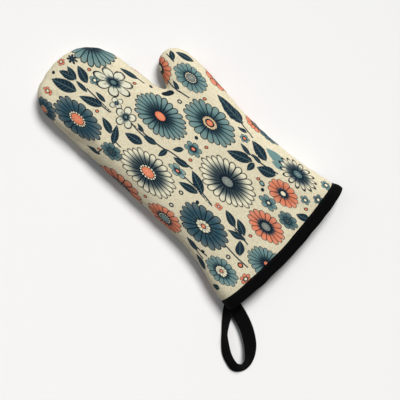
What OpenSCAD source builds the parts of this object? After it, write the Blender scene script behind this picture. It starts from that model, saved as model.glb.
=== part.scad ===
// Oven mitt lying palm down, with a thumb that swings sideways and a hanging loop of flat tape.
// X runs to the thumb side, Y to the fingertips and Z up; the palm rests on z = 0.
// The back and the palm are each a printed panel, a layer of wadding and a lining. A layer
// fills the space between two depths below the outer face, and its edge is drawn on rays: a ray
// gives the place at any inset from the outline, seen from above.

/* [Mitt] */
// Length from the cuff edge to the fingertips
mitt_l = 319; // [310:1:330]
// Width across the cuff
mitt_w = 175; // [170:1:180]
// Height of the back above the side seam
back_h = 16; // [14:0.5:20]
// Depth of the palm below the side seam
palm_h = 12; // [11:0.5:16]
// Width of the rounded edge, seen from above
edge_w = 14; // [13:0.5:15]

/* [Layers] */
// Thickness of the printed cloth, the lining and the binding
cloth_t = 0.8; // [0.6:0.1:0.9]
// Thickness of the wadding
wadding_t = 4; // [3:0.5:4.5]
// Room between two layers
layer_gap = 0.2; // [0.2:0.05:0.3]
// Width of the cuff binding
binding_w = 12; // [10:1:14]
// Thickness of the sewing thread
thread_t = 0.5; // [0.4:0.1:0.6]

/* [Thumb] */
// Gap between the hand and the round root of the thumb
root_gap = 0.6; // [0.5:0.1:0.8]

/* [Hanging loop] */
// Thickness of the loop's tape
tape_t = 1.4; // [1:0.1:1.6]
// Height of the tape where it leaves the binding
tape_z = 3; // [2.9:0.1:3.2]
// How far the loop slopes down to the surface, in degrees
loop_slope = 2; // [0:0.5:2]

/* [Hidden] */

wide = mitt_w / 175;
long = mitt_l / 319;
seam_z = palm_h;

// Depths of the layers below the outer face
wadding_depth = [cloth_t + layer_gap, cloth_t + layer_gap + wadding_t];
lining_depth = [wadding_depth[1] + layer_gap, wadding_depth[1] + layer_gap + cloth_t];

// Distances above the cuff edge: the start of the panels, and that of the wadding
fit = 0.1;
panel_start = binding_w + thread_t + 2 * fit;
wadding_start = cloth_t + layer_gap;

// The thumb turns about the centre of its round root, between the crotch and the heel.
root = [64.5 * wide, 44.8 * long];
crotch = [42.8 * wide, 55 * long];
root_r = norm(crotch - root);
crotch_turn = atan2(crotch.y - root.y, crotch.x - root.x);
heel_turn = -24;
heel = root + root_r * [cos(heel_turn), sin(heel_turn)];

// The outline runs from the cuff up the straight side, over the fingertips, into the crotch,
// round the thumb to the heel and down to the cuff.
straight_side = [[-91, -170], [-86.5, -149], [-81, -124], [-72.5, -99], [-67, -68],
                 [-65.5, -25], [-65, 25], [-64.5, 75], [-64, 112]];
fingertips = [[-61, 138], [-50, 153], [-30, 158.5], [-8, 159], [12, 152], [26, 138], [33.5, 118],
              [36, 94], [37.5, 75], [39, 63]];
thumb_tip = [[47.5, 61], [54, 74], [62, 81.5], [73, 82], [83, 74], [87, 60]];
thumb_side = [[84, 12], [79.5, -22], [78, -68], [80.5, -108], [87.5, -149], [92, -170]];
curve_steps = 3;
crotch_i = curve_steps * (len(straight_side) + len(fingertips));
heel_i = crotch_i + curve_steps * (len(thumb_tip) + 1);
outline = spline(concat(sized(straight_side), sized(fingertips), [crotch], sized(thumb_tip),
                        [heel], sized(thumb_side)));
last_i = len(outline) - 1;

// Rings from the side seam to the flat of the back or palm, and points across a cut
edge_rings = 3;
cut_steps = 12;

// The loop leaves the cuff corner along loop_turn. Its outline and eye are drawn along X from
// its fold line, fold_out away from the corner; the tails reach back from there to the binding.
corner = [-88 * wide, -150.2 * long];
loop_turn = -131;
fold_out = 4;
fold_gap = 0.5;
loop_outline = [[0, 21], [10, 25], [24, 28], [40, 27], [52, 22], [59, 12.5], [60, 4],
                [53, -3], [41, -7.5], [28, -8], [14, -7], [0, -5.5]];
loop_eye = [[3, 4.5], [13, 1], [31, 0], [46, 3.5], [48, 7.5], [44, 12], [32, 14], [16, 11.5]];
tail_side = [-4, 19];
tail_inner = [[-11.5, 19], [-3.6, 0.2], [-8.8, -2.8], [-9.8, -4]];
tack_l = 1.6;

function sized(points) = [for (p = points) [p.x * wide, p.y * long]];

function curve_point(a, b, c, d, t) =
    0.5 * (2 * b + (c - a) * t + (2 * a - 5 * b + 4 * c - d) * t * t
           + (3 * b - a - 3 * c + d) * t * t * t);

// Smooth curve through the points, and a closed one
function spline(p) =
    let (n = len(p), q = concat([2 * p[0] - p[1]], p, [2 * p[n - 1] - p[n - 2]]))
    concat([for (i = [0 : n - 2], k = [0 : curve_steps - 1])
            curve_point(q[i], q[i + 1], q[i + 2], q[i + 3], k / curve_steps)], [p[n - 1]]);

function closed_spline(p) =
    let (n = len(p))
    [for (i = [0 : n - 1], k = [0 : curve_steps - 1])
     curve_point(p[(i + n - 1) % n], p[i], p[(i + 1) % n], p[(i + 2) % n], k / curve_steps)];

// The cuff edge bows out between its corners; its lowest point lies at x = 10.
function cuff_y(x) = -159.5 * long + 9.5 * pow((x / wide - 10) / 98, 2);

// Inward direction at a point of the outline. Below the heel it turns to follow the root.
function inward(i) =
    let (t = outline[i + 1] - outline[i - 1], n = [t.y, -t.x] / norm(t),
         share = i > heel_i ? max(0, 1 - (i - heel_i) / 5) : 0,
         m = n * (1 - share) + [sin(heel_turn), -cos(heel_turn)] * share)
    m / norm(m);

function edge_ray(i) = let (p = outline[i], n = inward(i)) function (inset) p + n * inset;

// Ray along the thumb's round root, from the crotch or the heel (way = 1 or -1)
function root_ray(turn, way, r) =
    function (inset) let (a = turn + way * inset / r * 180 / PI) root + r * [cos(a), sin(a)];

// Where the side (way = 1 at the straight side, -1 at the thumb's) is start above the cuff edge
function side_x(way, start) =
    let (first = way > 0 ? 0 : last_i,
         k = [for (j = [0 : 9]) let (p = outline[first + way * (j + 1)])
              if (p.y > cuff_y(p.x) + start) j][0],
         a = outline[first + way * k], b = outline[first + way * (k + 1)])
    a.x + (b.x - a.x) * (cuff_y(a.x) + start - a.y) / (b.y - a.y);

// Ray along the cuff edge, start above it
function cuff_ray(way, start) =
    let (x = side_x(way, start))
    function (inset) [x + way * inset, cuff_y(x + way * inset) + start];

// Points of a stretch of outline that are clear of the cuff
function inner_rays(from, to, start) =
    [for (i = [from : to]) if (outline[i].y > cuff_y(outline[i].x) + start + 6) edge_ray(i)];

function root_arc(from, to, r) =
    [for (k = [1 : cut_steps - 1]) let (a = from + (to - from) * k / cut_steps)
     root + r * [cos(a), sin(a)]];

// A part of the mitt is [stretches of rays, cuts]; each cut leads from the end of one stretch
// to the start of the next.
function thumb_part() =
    let (turn = edge_w / root_r * 180 / PI)
    [[concat([root_ray(crotch_turn, 1, root_r)], inner_rays(crotch_i + 1, heel_i - 1, 0),
             [root_ray(heel_turn, -1, root_r)])],
     [root_arc(heel_turn + 360 - turn, crotch_turn + turn, root_r)]];

function hand_part(start) =
    let (r = root_r + root_gap, turn = edge_w / r * 180 / PI,
         left = side_x(1, start) + edge_w, right = side_x(-1, start) - edge_w)
    [[concat([cuff_ray(1, start)], inner_rays(1, crotch_i - 1, start),
             [root_ray(crotch_turn, 1, r)]),
      concat([root_ray(heel_turn, -1, r)], inner_rays(heel_i + 1, last_i - 1, start),
             [cuff_ray(-1, start)])],
     [root_arc(crotch_turn + turn, heel_turn + 360 - turn, r),
      [for (k = [1 : cut_steps - 1]) let (x = right + (left - right) * k / cut_steps)
       [x, cuff_y(x) + start]]]];

// Height above the seam, and inset, of a ring that lies depth below the outer face
function rise(depth, turn) = ((turn < 0 ? palm_h : back_h) - depth) * sin(turn);
function inset(depth, turn) = edge_w - (edge_w - depth) * cos(turn);

function total(v, end) = end == 0 ? 0 : v[end - 1] + total(v, end - 1);

function ring_turn(k) = 90 * k / edge_rings;

// One face of a layer: the rays' points from the seam inwards, then the points of the cuts
function sheet(part, depth, side, gap) =
    concat([for (stretch = part[0], ray = stretch, k = [0 : edge_rings])
            let (turn = side * ring_turn(k), p = ray(inset(depth, turn)))
            [p.x, p.y, seam_z + side * max(gap, abs(rise(depth, turn)))]],
           [for (cut = part[1], p = cut) [p.x, p.y, seam_z + rise(depth, side * 90)]]);

// Layer of a part between two depths on one side of the seam, gap away from the seam
module layer(part, depths, side, gap) {
    rows = edge_rings + 1;
    rays = [for (s = part[0]) len(s)];
    cuts = [for (c = part[1]) len(c)];
    count = len(rays);
    size = rows * total(rays, count) + total(cuts, count);
    at = function (m, i, k) rows * (total(rays, m) + i) + k;
    cut = function (m) [for (i = [0 : cuts[m] - 1])
                        rows * total(rays, count) + total(cuts, m) + i];
    skin = [for (m = [0 : count - 1], i = [0 : rays[m] - 2], k = [0 : edge_rings - 1])
            each [[at(m, i, k), at(m, i + 1, k), at(m, i + 1, k + 1)],
                  [at(m, i, k), at(m, i + 1, k + 1), at(m, i, k + 1)]]];
    flat = [for (m = [0 : count - 1])
            each concat([for (i = [0 : rays[m] - 1]) at(m, i, edge_rings)], cut(m))];
    outer = concat(skin, [flat]);
    rim = [for (m = [0 : count - 1]) let (next = (m + 1) % count)
           each concat([for (i = [0 : rays[m] - 1]) at(m, i, 0)],
                       [for (k = [1 : edge_rings]) at(m, rays[m] - 1, k)], cut(m),
                       [for (k = [edge_rings : -1 : 1]) at(next, 0, k)])];
    walls = [for (i = [0 : len(rim) - 1]) let (p = rim[i], q = rim[(i + 1) % len(rim)])
             each [[q, p, p + size], [q, p + size, q + size]]];
    inner = [for (f = outer) [for (i = [len(f) - 1 : -1 : 0]) f[i] + size]];
    faces = concat(outer, inner, walls);
    polyhedron(concat(sheet(part, depths[0], side, gap), sheet(part, depths[1], side, gap)),
               side > 0 ? faces : [for (f = faces) [for (i = [len(f) - 1 : -1 : 0]) f[i]]],
               convexity = 8);
}

// Sweeps a section round or along a list of equal sections
module tube(sections, closed) {
    n = len(sections[0]);
    count = len(sections);
    sides = [for (s = [0 : count - (closed ? 1 : 2)], i = [0 : n - 1])
             let (a = s * n, b = ((s + 1) % count) * n, j = (i + 1) % n)
             each [[a + i, a + j, b + j], [a + i, b + j, b + i]]];
    ends = closed ? [] : [[for (i = [n - 1 : -1 : 0]) i],
                          [for (i = [0 : n - 1]) (count - 1) * n + i]];
    polyhedron([for (s = sections) each s], concat(sides, ends), convexity = 8);
}

// Thread along the side seam, between the edges of the two panels
module seam_run(rays) {
    tube([for (ray = rays)
          [for (c = [[0, -1], [1, -1], [1, 1], [0, 1]])
           let (p = ray(2 * fit + c[0] * thread_t))
           [p.x, p.y, seam_z + c[1] * thread_t / 2]]], false);
}

// Band round the mouth, from a section of [depth, distance above the cuff edge] points
module mouth_band(section) {
    turns = [for (k = [-edge_rings : edge_rings]) ring_turn(k)];
    across = [for (k = [1 : 2 * cut_steps - 1]) k / (2 * cut_steps)];
    stations = concat([for (t = turns) [0, t]], [for (f = across) [f, 90]],
                      [for (t = turns) [1, -t]], [for (f = across) [1 - f, -90]]);
    tube([for (s = stations)
          [for (c = section)
           let (left = side_x(1, c[1]) + edge_w, right = side_x(-1, c[1]) - edge_w,
                way = s[0] < 0.5 ? -1 : 1,
                x = left + (right - left) * s[0] + way * (edge_w - c[0]) * cos(s[1]))
           [x, cuff_y(x) + c[1], seam_z + rise(c[0], s[1])]]], true);
}

// Places a shape drawn along X at the loop's fold line, at the height of the tape
module at_fold() {
    translate([corner.x, corner.y, tape_z])
        rotate([0, 0, loop_turn])
            translate([fold_out, 0, 0])
                children();
}

module panel(part, side) {
    color("wheat") layer(part, [0, cloth_t], side, thread_t / 2 + fit);
}

module wadding(part, side) {
    color("white") layer(part, wadding_depth, side, layer_gap);
}

module lining(part, side) {
    color("cornsilk") layer(part, lining_depth, side, layer_gap);
}

module back_panel() {
    panel(hand_part(panel_start), 1);
}

module palm_panel() {
    panel(hand_part(panel_start), -1);
}

module back_wadding() {
    wadding(hand_part(wadding_start), 1);
}

module palm_wadding() {
    wadding(hand_part(wadding_start), -1);
}

module back_lining() {
    lining(hand_part(panel_start), 1);
}

module palm_lining() {
    lining(hand_part(panel_start), -1);
}

module seam_thread() {
    color("tan") for (rays = hand_part(panel_start)[0]) seam_run(rays);
}

module thumb_back_panel() {
    panel(thumb_part(), 1);
}

module thumb_palm_panel() {
    panel(thumb_part(), -1);
}

module thumb_back_wadding() {
    wadding(thumb_part(), 1);
}

module thumb_palm_wadding() {
    wadding(thumb_part(), -1);
}

module thumb_back_lining() {
    lining(thumb_part(), 1);
}

module thumb_palm_lining() {
    lining(thumb_part(), -1);
}

module thumb_seam_thread() {
    color("tan") seam_run(thumb_part()[0][0]);
}

// Tape folded round the edge of the mouth: an outer flap, the fold and an inner flap
module cuff_binding() {
    color([0.08, 0.08, 0.08]) mouth_band([
        [0, binding_w], [0, 0], [lining_depth[1], 0], [lining_depth[1], binding_w],
        [lining_depth[0], binding_w], [lining_depth[0], cloth_t], [cloth_t, cloth_t],
        [cloth_t, binding_w]]);
}

// Thread along the free edge of the binding's outer flap
module binding_stitch() {
    low = binding_w + fit;
    color([0.15, 0.15, 0.15]) mouth_band([
        [0, low + thread_t], [0, low], [thread_t, low], [thread_t, low + thread_t]]);
}

// The two sewn ends of the loop's tape, side by side against the binding
module loop_tails() {
    front = -tape_t / 2 - fold_gap;
    color([0.08, 0.08, 0.08]) at_fold()
        translate([0, 0, -tape_t / 2]) linear_extrude(height = tape_t)
            polygon(concat([[front, tail_side[0]], [front, tail_side[1]]], tail_inner));
}

// Band of thread round the tails, just outside the cuff corner
module bar_tack() {
    wrap = thread_t + fit;
    size = [tack_l, tail_side[1] - tail_side[0] + 2 * wrap, tape_t + 2 * wrap];
    hole = [3 * tack_l, size.y - 2 * thread_t, size.z - 2 * thread_t];
    color([0.15, 0.15, 0.15]) at_fold()
        translate([-tape_t / 2 - fold_gap - tack_l / 2 - fit, (tail_side[0] + tail_side[1]) / 2, 0])
            difference() {
                cube(size, center = true);
                cube(hole, center = true);
            }
}

// Flat teardrop of tape, rounded where it turns on the fold line
module hanging_loop() {
    right = loop_outline[0].y;
    left = loop_outline[len(loop_outline) - 1].y;
    color([0.08, 0.08, 0.08]) at_fold() rotate([0, loop_slope, 0]) {
        translate([0, 0, -tape_t / 2]) linear_extrude(height = tape_t) difference() {
            polygon(spline(loop_outline));
            polygon(closed_spline(loop_eye));
        }
        translate([0, left, 0]) rotate([-90, 0, 0])
            cylinder(d = tape_t, h = right - left, $fn = 24);
    }
}

back_panel();
palm_panel();
back_wadding();
palm_wadding();
back_lining();
palm_lining();
seam_thread();
thumb_back_panel();
thumb_palm_panel();
thumb_back_wadding();
thumb_palm_wadding();
thumb_back_lining();
thumb_palm_lining();
thumb_seam_thread();
cuff_binding();
binding_stitch();
loop_tails();
bar_tack();
hanging_loop();
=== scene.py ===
"""A printed oven mitt with a black bound cuff and a hanging loop, lying palm down.

Lengths in this script are millimetres until a mesh is made, which is in metres. The mitt is one
surface of rings round its edge and a triangulated flat inside them, inflated by a cloth
simulation. Every layer is a slice of that surface, and the print is drawn by shader nodes from
motif coordinates that are stored on the panels' faces.
"""
import math

import bmesh
import bpy
import numpy as np
from mathutils import Matrix, Vector, noise
from mathutils.bvhtree import BVHTree
from mathutils.geometry import delaunay_2d_cdt
from mathutils.kdtree import KDTree


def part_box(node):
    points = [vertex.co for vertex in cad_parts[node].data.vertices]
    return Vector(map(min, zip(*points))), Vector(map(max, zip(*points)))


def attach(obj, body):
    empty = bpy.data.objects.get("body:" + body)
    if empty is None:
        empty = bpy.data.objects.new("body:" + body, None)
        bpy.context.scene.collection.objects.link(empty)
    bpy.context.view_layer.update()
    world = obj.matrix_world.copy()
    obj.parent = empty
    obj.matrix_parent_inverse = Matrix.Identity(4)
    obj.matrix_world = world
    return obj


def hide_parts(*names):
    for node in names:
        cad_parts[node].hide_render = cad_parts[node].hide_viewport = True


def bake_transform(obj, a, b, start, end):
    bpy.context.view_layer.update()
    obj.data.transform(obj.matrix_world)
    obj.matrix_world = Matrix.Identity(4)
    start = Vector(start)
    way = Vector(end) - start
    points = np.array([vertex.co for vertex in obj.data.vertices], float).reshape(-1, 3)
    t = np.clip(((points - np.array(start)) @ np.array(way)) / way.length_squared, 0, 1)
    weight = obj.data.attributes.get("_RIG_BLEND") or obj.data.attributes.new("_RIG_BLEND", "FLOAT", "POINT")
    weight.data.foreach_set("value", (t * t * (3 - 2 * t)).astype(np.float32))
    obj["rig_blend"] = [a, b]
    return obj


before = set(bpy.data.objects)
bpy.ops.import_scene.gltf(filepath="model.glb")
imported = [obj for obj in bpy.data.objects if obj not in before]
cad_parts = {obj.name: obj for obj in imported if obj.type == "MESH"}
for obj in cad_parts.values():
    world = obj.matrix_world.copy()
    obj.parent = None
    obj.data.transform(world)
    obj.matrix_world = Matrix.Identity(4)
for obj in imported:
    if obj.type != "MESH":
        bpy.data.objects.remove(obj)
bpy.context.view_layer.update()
MM = 0.001


def node_box(name):
    """Lowest and highest corner of a CAD node, in millimetres."""
    low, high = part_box(name)
    return np.array(low) / MM, np.array(high) / MM


# ------------------------------------------------------------------ sizes, from the frame
PALM_BOX, BACK_BOX = node_box("palm_panel"), node_box("back_panel")
SEAM_Z = (PALM_BOX[1][2] + BACK_BOX[0][2]) / 2
PALM_H = SEAM_Z - PALM_BOX[0][2]
BACK_H = BACK_BOX[1][2] - SEAM_Z
EDGE_W = 14.0
CLOTH = 0.8
WADDING = (1.0, 5.0)
LINING = (5.2, 6.0)
BINDING_W = 12.0
CROTCH = np.array([42.8, 55.0])
THUMB_SPLIT = np.array([0.72, 0.69])

# The mitt's outline, as in the CAD model: up the straight side, over the fingertips, into the
# crotch, round the thumb and down to the cuff
STRAIGHT_SIDE = [(-91, -170), (-86.5, -149), (-81, -124), (-72.5, -99), (-67, -68),
                 (-65.5, -25), (-65, 25), (-64.5, 75), (-64, 112)]
FINGERTIPS = [(-61, 138), (-50, 153), (-30, 158.5), (-8, 159), (12, 152), (26, 138),
              (33.5, 118), (36, 94), (37.5, 75), (39, 63)]
THUMB = [(42.8, 55), (47.5, 61), (54, 74), (62, 81.5), (73, 82), (83, 74), (87, 60),
         (86.4, 35)]
THUMB_SIDE = [(84, 12), (79.5, -22), (78, -68), (80.5, -108), (87.5, -149), (92, -170)]


def cuff_y(x):
    """Height of the cuff's edge, which bows out between its corners."""
    return -159.5 + 9.5 * ((x - 10) / 98) ** 2


# ------------------------------------------------------------------ curves
def curve_point(a, b, c, d, t):
    return 0.5 * (2 * b + (c - a) * t + (2 * a - 5 * b + 4 * c - d) * t * t
                  + (3 * b - a - 3 * c + d) * t ** 3)


def spline(points, spacing, fine=lambda p: 1):
    """Smooth open curve through the points, with samples about spacing / fine(point) apart."""
    p = [np.array(q, float) for q in points]
    q = [2 * p[0] - p[1], *p, 2 * p[-1] - p[-2]]
    out = []
    for i in range(len(p) - 1):
        step = spacing / fine((p[i] + p[i + 1]) / 2)
        count = max(2, round(np.linalg.norm(p[i + 1] - p[i]) / step))
        out += [curve_point(*q[i:i + 4], k / count) for k in range(count)]
    return np.array(out + [p[-1]])


def even(points, spacing):
    """The same polyline with samples an equal distance apart.

    Distance counts the first three columns, and any others are carried along.
    """
    steps = np.linalg.norm(np.diff(points[:, :3], axis=0), axis=1)
    run = np.concatenate([[0], np.cumsum(steps)])
    at = np.linspace(0, run[-1], max(2, round(run[-1] / spacing)) + 1)
    return np.stack([np.interp(at, run, points[:, k]) for k in range(points.shape[1])], 1)


def smoothstep(low, high, x):
    t = np.clip((x - low) / (high - low), 0, 1)
    return t * t * (3 - 2 * t)


def unit(v):
    return v / np.maximum(np.linalg.norm(v, axis=-1, keepdims=True), 1e-9)


# ------------------------------------------------------------------ the mitt's surface
RING_TURNS = [0, 8, 20, 34, 50, 68, 90]


def outline_rays():
    """Outline points from one cuff corner to the other, and the direction into the mitt."""
    near_crotch = lambda p: 3 if np.linalg.norm(p - CROTCH) < 14 else 1
    line = spline(STRAIGHT_SIDE + FINGERTIPS + THUMB + THUMB_SIDE, 3.0, near_crotch)
    above = line[:, 1] - cuff_y(line[:, 0])
    first, last = np.flatnonzero(above > 0)[[0, -1]]
    ends = []
    for inside, outside in ((first, first - 1), (last, last + 1)):
        t = above[outside] / (above[outside] - above[inside])
        ends.append(line[outside] + (line[inside] - line[outside]) * t)
    keep = [i for i in range(first, last + 1) if above[i] > 1.5]
    points = np.array([ends[0], *line[keep], ends[1]])
    along = np.gradient(points, axis=0)
    along[1:-1] = (along[:-2] + 2 * along[1:-1] + along[2:]) / 4
    inward = unit(np.stack([along[:, 1], -along[:, 0]], 1))
    slope = 2 * 9.5 * (points[:, 0] - 10) / 98 ** 2
    inward[0] = unit(np.array([1, slope[0]]))
    inward[-1] = unit(np.array([-1, -slope[-1]]))
    return points, inward


def arc_length(height, turn):
    """Length of the rounded edge's quarter ellipse from a turn up to its top, in degrees."""
    t = np.radians(np.linspace(turn, 90, 40))
    return np.sum(np.hypot(np.diff(EDGE_W * np.cos(t)), np.diff(height * np.sin(t))))


def flat_inside(boundary, spacing):
    """Triangles that fill a closed outline, on a grid of equal triangles."""
    low, high = boundary.min(0), boundary.max(0)
    grid = [(x + (row % 2) * spacing / 2, y)
            for row, y in enumerate(np.arange(low[1], high[1], spacing * 0.866))
            for x in np.arange(low[0], high[0], spacing)]
    tree = KDTree(len(boundary))
    for i, p in enumerate(boundary):
        tree.insert((*p, 0), i)
    tree.balance()
    nxt = np.roll(boundary, -1, 0)

    def within(p):
        crosses = (boundary[:, 1] > p[1]) != (nxt[:, 1] > p[1])
        a, b = boundary[crosses], nxt[crosses]
        x = a[:, 0] + (p[1] - a[:, 1]) * (b[:, 0] - a[:, 0]) / (b[:, 1] - a[:, 1])
        return np.count_nonzero(x > p[0]) % 2 == 1

    inner = [p for p in grid if within(p) and tree.find((*p, 0))[2] > spacing * 0.6]
    points = [Vector(p) for p in boundary] + [Vector(p) for p in inner]
    out = delaunay_2d_cdt(points, [], [list(range(len(boundary)))], 1, 1e-5)
    return np.array([tuple(p) for p in out[0]]), [list(f) for f in out[2]]


def mitt_surface():
    """The whole outer surface at rest: vertices, faces, and what is known at each vertex.

    plan is the place on the flat cloth, rim is (distance from the side seam, distance along
    it, distance above the cuff's edge) and side is 1 on the back, -1 on the palm, 0 between.
    """
    points, inward = outline_rays()
    n = len(points)
    along = np.concatenate([[0], np.cumsum(np.linalg.norm(np.diff(points, axis=0), axis=1))])
    verts, plan, rim, side = [], [], [], []

    def add(p, z, flat, seam_distance, run, which):
        verts.append((*p, z))
        plan.append(flat)
        rim.append((seam_distance, run, p[1] - cuff_y(p[0])))
        side.append(which)
        return len(verts) - 1

    ring = {}
    for way, height in ((1, BACK_H), (-1, PALM_H)):
        whole = arc_length(height, 0)
        for k, turn in enumerate(RING_TURNS):
            if way < 0 and k == 0:
                for i in range(n):
                    ring[-1, 0, i] = ring[1, 0, i]
                continue
            inset = EDGE_W * (1 - math.cos(math.radians(turn)))
            left = arc_length(height, turn)
            for i in range(n):
                flat = points[i] + inward[i] * (EDGE_W - left)
                ring[way, k, i] = add(points[i] + inward[i] * inset,
                                      SEAM_Z + way * height * math.sin(math.radians(turn)),
                                      flat, whole - left, along[i], way if k else 0)
    faces = []
    rings = len(RING_TURNS)
    for way in (1, -1):
        for k in range(rings - 1):
            for i in range(n - 1):
                quad = [ring[way, k, i], ring[way, k, i + 1], ring[way, k + 1, i + 1],
                        ring[way, k + 1, i]]
                faces.append(quad if way < 0 else quad[::-1])
    top = np.array([verts[ring[1, rings - 1, i]][:2] for i in range(n)])
    left_x, right_x = top[0][0], top[-1][0]
    cuff = [(x, cuff_y(x)) for x in np.linspace(right_x, left_x, 42)[1:-1]]
    boundary = np.array([*top, *cuff])
    flat_points, triangles = flat_inside(boundary, 4.2)
    tree = KDTree(n)
    for i, p in enumerate(top):
        tree.insert((*p, 0), i)
    tree.balance()
    for way, height in ((1, BACK_H), (-1, PALM_H)):
        index = []
        for j, p in enumerate(flat_points):
            if j < n:
                index.append(ring[way, rings - 1, j])
                continue
            _, near, gap = tree.find((*p, 0))
            index.append(add(p, SEAM_Z + way * height, p, arc_length(height, 0) + gap,
                             along[near], way))
        for tri in triangles:
            a, b, c = (flat_points[i] for i in tri)
            turn = (b[0] - a[0]) * (c[1] - a[1]) - (b[1] - a[1]) * (c[0] - a[0])
            face = [index[i] for i in (tri if turn > 0 else tri[::-1])]
            faces.append(face if way > 0 else face[::-1])
    return (np.array(verts), faces,
            {"plan": np.array([(*p[:2], 0) for p in plan]), "rim": np.array(rim),
             "side": np.array(side, float)})


# ------------------------------------------------------------------ meshes
def make_object(name, verts, faces, smooth=True):
    mesh = bpy.data.meshes.new(name)
    mesh.from_pydata([tuple(v) for v in np.asarray(verts) * MM], [],
                     [tuple(int(i) for i in f) for f in faces])
    mesh.validate()
    mesh.update()
    if smooth:
        mesh.shade_smooth()
    obj = bpy.data.objects.new(name, mesh)
    bpy.context.collection.objects.link(obj)
    return obj


def coordinates(mesh):
    co = np.empty(len(mesh.vertices) * 3)
    mesh.vertices.foreach_get("co", co)
    return co.reshape(-1, 3) / MM


def put_attribute(mesh, name, kind, domain, values):
    layer = mesh.attributes.new(name, kind, domain)
    field = {"FLOAT": "value", "FLOAT_VECTOR": "vector", "FLOAT_COLOR": "color"}[kind]
    layer.data.foreach_set(field, np.asarray(values, np.float32).ravel())


def get_attribute(mesh, name, width):
    layer = mesh.attributes[name]
    out = np.empty(len(layer.data) * width, np.float32)
    layer.data.foreach_get("value" if width == 1 else "vector", out)
    return out.reshape(-1, width).astype(float)


def vertex_normals(mesh):
    n = np.empty(len(mesh.vertices) * 3, np.float32)
    mesh.vertex_normals.foreach_get("vector", n)
    return n.reshape(-1, 3).astype(float)


def inflate(verts, faces, known):
    """The surface after a cloth simulation with air pressure, held at the cuff."""
    obj = make_object("inflate", verts, faces)
    group = obj.vertex_groups.new(name="held")
    rim = known["rim"]
    held = np.maximum(1 - smoothstep(14, 46, rim[:, 2]), 0.35 * (rim[:, 0] < 0.5))
    for i, weight in enumerate(held):
        group.add([i], float(weight), "REPLACE")
    cloth = obj.modifiers.new("cloth", "CLOTH")
    cloth.settings.quality = 6
    cloth.settings.mass = 0.25
    cloth.settings.tension_stiffness = 18
    cloth.settings.compression_stiffness = 10
    cloth.settings.shear_stiffness = 6
    cloth.settings.bending_stiffness = 0.4
    cloth.settings.vertex_group_mass = "held"
    cloth.settings.use_pressure = True
    cloth.settings.uniform_pressure_force = 4
    cloth.settings.effector_weights.gravity = 0
    cloth.collision_settings.use_collision = False
    cloth.point_cache.frame_start, cloth.point_cache.frame_end = 1, 20
    scene = bpy.context.scene
    for step in range(1, 21):
        scene.frame_set(step)
    shaped = obj.evaluated_get(bpy.context.evaluated_depsgraph_get()).to_mesh()
    moved = coordinates(shaped) - verts
    obj.to_mesh_clear()
    scene.frame_set(1)
    bpy.data.objects.remove(obj)
    length = np.linalg.norm(moved, axis=1, keepdims=True)
    cap = 5.0
    return verts + moved * (cap * np.tanh(length / cap) / np.maximum(length, 1e-9))


def ripple(points, size, seed):
    """Smooth noise from -1 to 1 at each point, with features about size apart."""
    return np.array([noise.noise(Vector(p) / size + Vector((seed, seed * 0.7, 0)))
                     for p in points])


def finished_surface():
    """The simulated surface, subdivided once, with its seam groove, puckers and cuff folds."""
    verts, faces, known = mitt_surface()
    verts = inflate(verts, faces, known)
    obj = make_object("surface", verts, faces)
    for name, value in known.items():
        wide = name != "side"
        put_attribute(obj.data, name, "FLOAT_VECTOR" if wide else "FLOAT", "POINT", value)
    finer = obj.modifiers.new("finer", "SUBSURF")
    finer.levels = finer.render_levels = 1
    finer.boundary_smooth = "PRESERVE_CORNERS"
    shaped = obj.evaluated_get(bpy.context.evaluated_depsgraph_get())
    mesh = bpy.data.meshes.new_from_object(shaped)
    bpy.data.objects.remove(obj)
    co, normal = coordinates(mesh), vertex_normals(mesh)
    rim, side = get_attribute(mesh, "rim", 3), get_attribute(mesh, "side", 1)[:, 0]
    groove = -1.1 * np.exp(-(rim[:, 0] / 1.7) ** 2)
    along = np.stack([rim[:, 1], rim[:, 0] * 0.15, side * 40], 1)
    pucker = 0.7 * ripple(along, 8.0, 3) * np.exp(-((rim[:, 0] - 4) / 6) ** 2)
    folds = 1.1 * ripple(np.stack([co[:, 0], co[:, 1] * 0.3, side * 30], 1), 16.0, 9)
    folds *= smoothstep(70, 25, rim[:, 2])
    broad = 1.0 * ripple(co * [1, 0.7, 0.2], 45.0, 5) * smoothstep(4, 20, rim[:, 0])
    away_from_cuff = smoothstep(BINDING_W - 2, BINDING_W + 14, rim[:, 2])
    hem = -1.0 * smoothstep(BINDING_W + 5, BINDING_W, rim[:, 2])
    move = (groove + pucker + folds + broad) * away_from_cuff + hem
    co = co + normal * move[:, None]
    co[:, 2] = np.maximum(co[:, 2], 0.05)
    mesh.vertices.foreach_set("co", (co * MM).ravel())
    mesh.update()
    return mesh


SURFACE = finished_surface()
CO = coordinates(SURFACE)
NORMAL = vertex_normals(SURFACE)
PLAN = get_attribute(SURFACE, "plan", 3)
RIM = get_attribute(SURFACE, "rim", 3)
SIDE = get_attribute(SURFACE, "side", 1)[:, 0]
smooth_normal = NORMAL.copy()
edges = np.array([tuple(e.vertices) for e in SURFACE.edges])
for _ in range(3):
    total = smooth_normal.copy()
    np.add.at(total, edges[:, 0], smooth_normal[edges[:, 1]])
    np.add.at(total, edges[:, 1], smooth_normal[edges[:, 0]])
    smooth_normal = unit(total)
split_at = CO[np.argmin(np.linalg.norm(CO - [*CROTCH, SEAM_Z], axis=1))][:2]


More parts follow.
